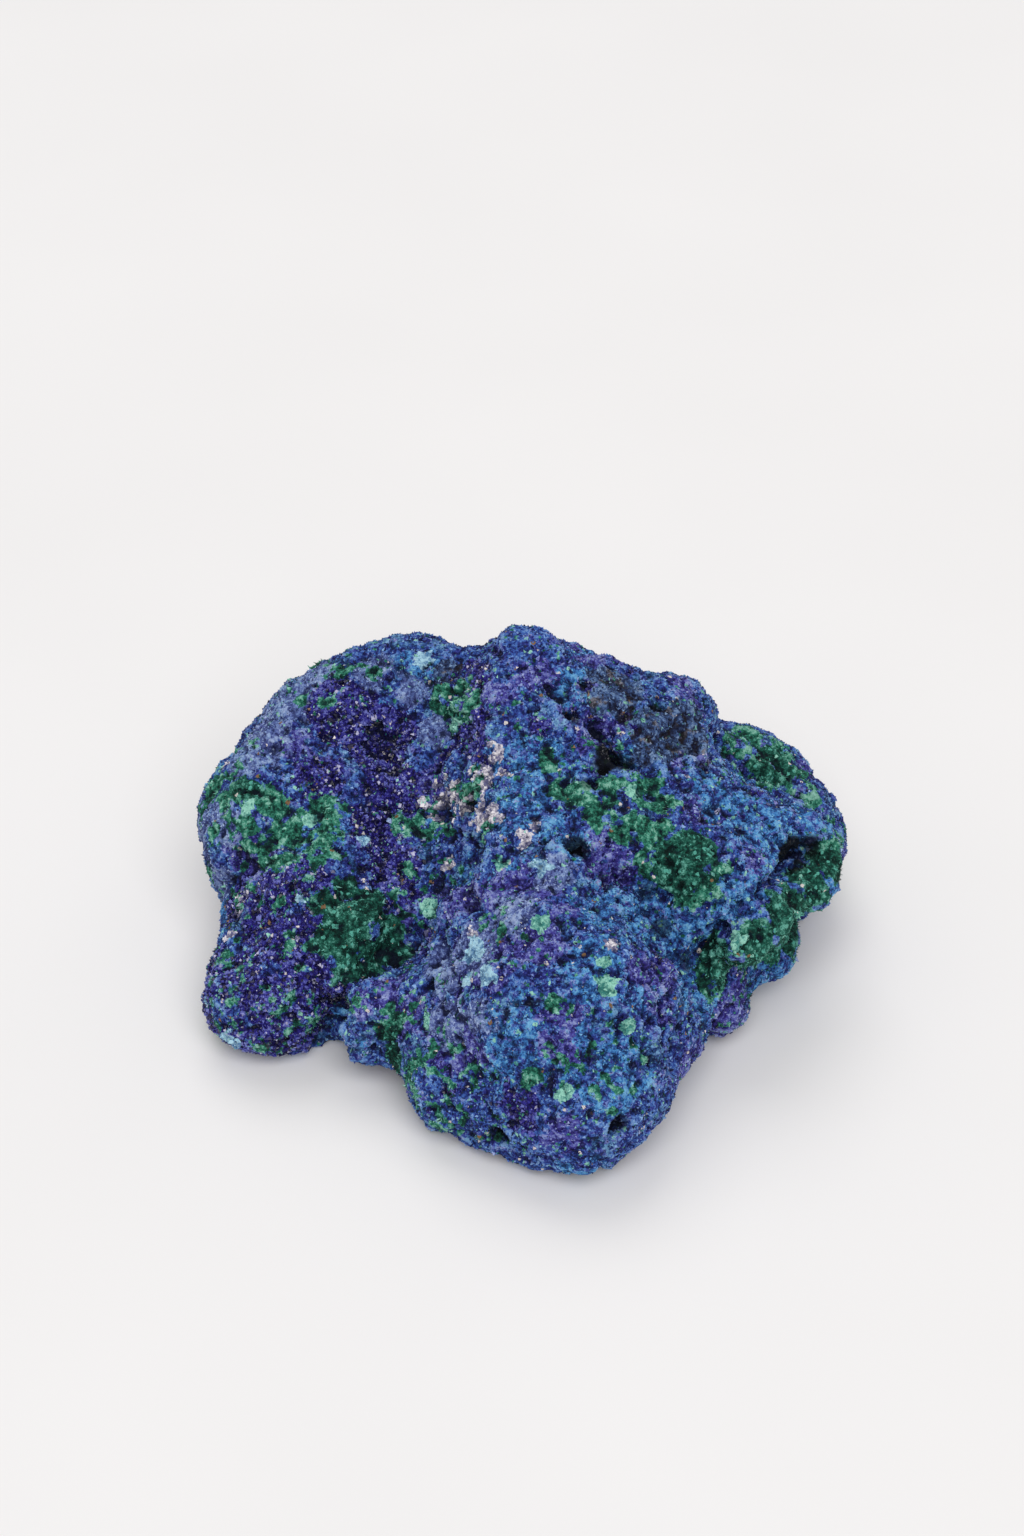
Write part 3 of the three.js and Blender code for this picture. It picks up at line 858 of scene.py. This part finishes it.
def mineral_colour(s, tone, pick):
    """A crumb's colour. tone goes from dark to light, and pick is the crumb's own random number."""
    patch = s.noise(1.2, 3, 0.65)

    def chosen(zone, mixing):
        """Whether a crumb belongs to the zone: crumbs are mixed up where the zone thins out."""
        luck = s.math("MULTIPLY", s.math("SUBTRACT", pick, 0.5), mixing)
        drift = s.math("MULTIPLY", s.math("SUBTRACT", patch, 0.5), mixing * 1.6)
        return s.spread(s.math("ADD", s.attribute(zone), s.math("ADD", luck, drift)), 0.44, 0.56)

    def among(low, high):
        """Whether pick falls between low and high."""
        above, below = s.math("GREATER_THAN", pick, low), s.math("LESS_THAN", pick, high)
        return s.math("MULTIPLY", above, below)

    ramps = {name: s.ramp(tone, *stops) for name, stops in PALETTES.items()}
    brown = s.spread(s.noise(1.7, 3, 0.6), 0.54, 0.64)
    dusk = s.math("MULTIPLY", s.spread(s.noise(1.15, 4, 0.7), 0.5, 0.58), 0.8)
    teal = s.math("MULTIPLY", s.spread(s.noise(3.4, 4, 0.65), 0.52, 0.6), 0.6)
    velvet = s.mix(among(0.62, 0.67), ramps["velvet"], VELVET_FLECK)
    green = s.mix(s.attribute("velvet"), ramps["green"], velvet)
    soot = s.mix(brown, ramps["soot"], ramps["brown"])

    # The minerals, each laid over the ones before it.
    colour = s.mix(teal, ramps["plain"], ramps["teal"])
    colour = s.mix(chosen("cerulean", 1.0), colour, ramps["cerulean"])
    colour = s.mix(chosen("violet", 1.0), colour, ramps["violet"])
    colour = s.mix(dusk, colour, ramps["druse"])
    colour = s.mix(s.math("MULTIPLY", chosen("powder", 0.8), 0.8), colour, ramps["powder"])
    colour = s.mix(chosen("soot", 0.6), colour, soot)
    colour = s.mix(chosen("druse", 0.7), colour, ramps["druse"])
    colour = s.mix(among(0.45, 0.48), colour, green)
    colour = s.mix(chosen("gangue", 0.4), colour, ramps["chalk"])
    colour = s.mix(chosen("malachite", 0.6), colour, green)
    colour = s.mix(chosen("sky", 0.5), colour, ramps["sky"])
    colour = s.mix(chosen("mint", 0.5), colour, ramps["aqua"])

    # Stray flecks, and pale glints painted on the druse.
    colour = s.mix(among(0.5, 0.508), colour, ramps["aqua"])
    # Painted highlights: a few druse crystals are coloured pale to act as glints.
    painted_glints = s.math("MULTIPLY", among(0.52, 0.55), s.attribute("druse"))
    colour = s.mix(painted_glints, colour, DRUSE_PAINTED_GLINT)
    colour = s.mix(among(0.57, 0.573), colour, PALE_FLECK)
    colour = s.mix(among(0.6, 0.602), colour, RUST_FLECK)

    # Painted shade: the colour is darkened in the gaps and hollows, towards near-black blue or, in
    # the soot zone, near-black brown, and less where the crust is knobbly; the insides of the holes
    # are darkened nearly to black.
    painted_shade = s.math("MAXIMUM", s.spread(s.attribute("hollow"), 0.15, 0.9, 0, 0.8),
                   s.spread(s.attribute("cavity"), 0.35, 1.0, 0, 0.94))
    painted_shade = s.math("MULTIPLY", painted_shade, s.spread(s.attribute("knobbly"), 0, 1, 1, 0.15))
    dark = s.mix(s.attribute("soot"), AZURITE_PAINTED_SHADE, SOOT_PAINTED_SHADE)
    colour = s.mix(painted_shade, colour, dark)
    # Painted shade: the insides of the holes are darkened nearly to black.
    return s.mix(s.math("MULTIPLY", s.attribute("pit_painted_shade"), 0.98), colour, HOLE_PAINTED_SHADE)


def mineral_tone(s, grain, own):
    """How light a crumb is: noise, with the crumb's own share of it, and lowered in the gaps by
    painted shade.
    """
    patch = s.noise(2.2, 3, 0.6)
    tone = s.math("ADD", s.math("MULTIPLY", grain, 0.75), s.math("MULTIPLY", patch, 0.6))
    tone = s.math("ADD", tone, own)
    # Painted shade: the tone is lowered in the hollows.
    return s.math("ADD", tone, s.math("MULTIPLY", s.attribute("hollow"), -0.16))


def crust_material():
    """For the crust itself, whose cells of noise stand in for crumbs."""
    s = Shading("azurite_crust")
    grain = s.noise(0.3, 4, 0.72)
    near, cell = s.cells(0.36)
    split = s.tree.nodes.new("ShaderNodeSeparateColor")
    s.link(cell, split.inputs["Color"])
    tone = mineral_tone(s, grain, s.math("MULTIPLY", split.outputs["Green"], 0.18))
    colour = mineral_colour(s, s.spread(tone, 0.53, 1.04), split.outputs["Red"])
    height = s.math("SUBTRACT", grain, s.math("MULTIPLY", near, 0.6))
    s.bump(height, 0.22, 1.0)
    return s.finish(colour, s.spread(grain, 0.3, 0.7, 0.75, 0.95), 0.15)


def grain_material(name, roughness, specular, mottle):
    """For loose pieces, each with its own tone and pick. mottle is how far the tones differ."""
    s = Shading(name)
    grain = s.noise(0.3, 4, 0.72)
    tone = mineral_tone(s, grain, s.math("MULTIPLY", s.attribute("tone"), mottle))
    tone = s.spread(tone, 0.46 + mottle / 2, 0.98 + mottle / 2)
    colour = mineral_colour(s, tone, s.attribute("pick"))
    s.bump(grain, 0.05, 0.6)
    return s.finish(colour, s.spread(grain, 0.3, 0.7, roughness, roughness + 0.15), specular)


# ---------------------------------------------------------------------------
# Studio
# ---------------------------------------------------------------------------

def floor_material():
    s = Shading("pale_floor")
    mottle = s.noise(60, 2, 0.5)
    colour = s.ramp(mottle, (0.3, 0.82, 0.81, 0.81), (0.7, 0.84, 0.83, 0.83))
    return s.finish(colour, 0.9, 0.2)


def add_studio():
    """The floor, the lights and the camera. Places and sizes are in metres, and powers in watts."""
    scene = bpy.context.scene
    mesh = bpy.data.meshes.new("floor")
    far = 3.0
    corners = [(-far, -far, 0), (far, -far, 0), (far, far, 0), (-far, far, 0)]
    mesh.from_pydata(corners, [], [(0, 1, 2, 3)])
    mesh.materials.append(floor_material())
    floor = bpy.data.objects.new("floor", mesh)
    scene.collection.objects.link(floor)

    world = bpy.data.worlds.new("room")
    scene.world = world
    world.use_nodes = True
    background = world.node_tree.nodes["Background"]
    background.inputs["Color"].default_value = (1.0, 0.985, 0.975, 1)
    background.inputs["Strength"].default_value = 0.42

    def softbox(name, place, size, power):
        light = bpy.data.lights.new(name, "AREA")
        light.shape = "DISK"
        light.size = size
        light.energy = power
        obj = bpy.data.objects.new(name, light)
        obj.location = place
        obj.rotation_euler = (-Vector(place)).to_track_quat("-Z", "Y").to_euler()
        scene.collection.objects.link(obj)

    softbox("window", (-0.4, 1.9, 3.2), 2.8, 36)
    softbox("front", (0.3, -2.3, 3.0), 3.4, 102)

    camera = bpy.data.cameras.new("camera")
    camera.lens = 75
    camera.sensor_width = 36
    camera.clip_start = 0.01
    target = Vector((-1.3, 22.3, 12.0)) * MM
    distance = 0.345
    back = Vector((0, -math.cos(VIEW_ELEVATION), math.sin(VIEW_ELEVATION)))
    obj = bpy.data.objects.new("camera", camera)
    obj.location = target + back * distance
    obj.rotation_euler = (-back).to_track_quat("-Z", "Y").to_euler()
    scene.collection.objects.link(obj)
    scene.camera = obj

    scene.view_settings.view_transform = "Standard"
    scene.view_settings.look = "None"


# ---------------------------------------------------------------------------
# The specimen
# ---------------------------------------------------------------------------

def add_crust(crust):
    skin = crust_material()
    for part in ("upper", "lower"):
        name = f"azurite_crust_{part}"
        piece = add_object(name, part_of(crust, name, part == "upper"), skin)
        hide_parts(LUMP)


def in_zone(values, zone, random):
    """Which of the places count as being in the zone, with some luck at its edges."""
    return values[zone] + random.uniform(-0.3, 0.3, len(values[zone])) > 0.5


def add_grains(crust):
    random = np.random.default_rng(5)

    spots = scattered(crust, CRUMB_SPACING, random)
    facing_down = spots["normal"][:, 2] < -0.35
    thinned = facing_down & (random.random(len(spots["place"])) < 0.7)
    blue = kept(spots, ~in_zone(spots, "malachite", random) & ~thinned)
    order = random.permutation(len(blue["place"]))
    sugar = grain_material("azurite_grains", 0.5, 0.25, 0.7)
    for part in range(2):
        some = kept(blue, order[part * MOST_CRUMBS:(part + 1) * MOST_CRUMBS])
        name = f"azurite_grains_{part + 1}"
        add_object(name, crumbs(name, some, CRUMB_SIZE, random), sugar)

    spots = scattered(crust, CRYSTAL_SPACING, random)
    dark = kept(spots, in_zone(spots, "druse", random))
    dark = kept(dark, random.permutation(len(dark["place"]))[:MOST_CRYSTALS])
    glossy = grain_material("azurite_druse", 0.22, 0.5, 0.6)
    mesh = crystals("azurite_druse", dark, CRYSTAL_SIZE, 0.45, random)
    add_object("azurite_druse", mesh, glossy)

    spots = scattered(crust, LEAF_SPACING, random)
    green = kept(spots, in_zone(spots, "malachite", random))
    green = kept(green, random.permutation(len(green["place"]))[:MOST_LEAVES])
    velvet = grain_material("malachite_tufts", 0.5, 0.3, 0.4)
    mesh = leaves("malachite_tufts", green, LEAF_LENGTH, random)
    add_object("malachite_tufts", mesh, velvet)

    spots = scattered(crust, CHIP_SPACING, random)
    pale = kept(spots, in_zone(spots, "gangue", random))
    chalky = grain_material("gangue_chips", 0.8, 0.2, 0.3)
    mesh = crystals("gangue_chips", pale, CHIP_SIZE, 0.6, random)
    add_object("gangue_chips", mesh, chalky)


add_studio()
whole_crust = crust_mesh()
add_crust(whole_crust)
add_grains(whole_crust)
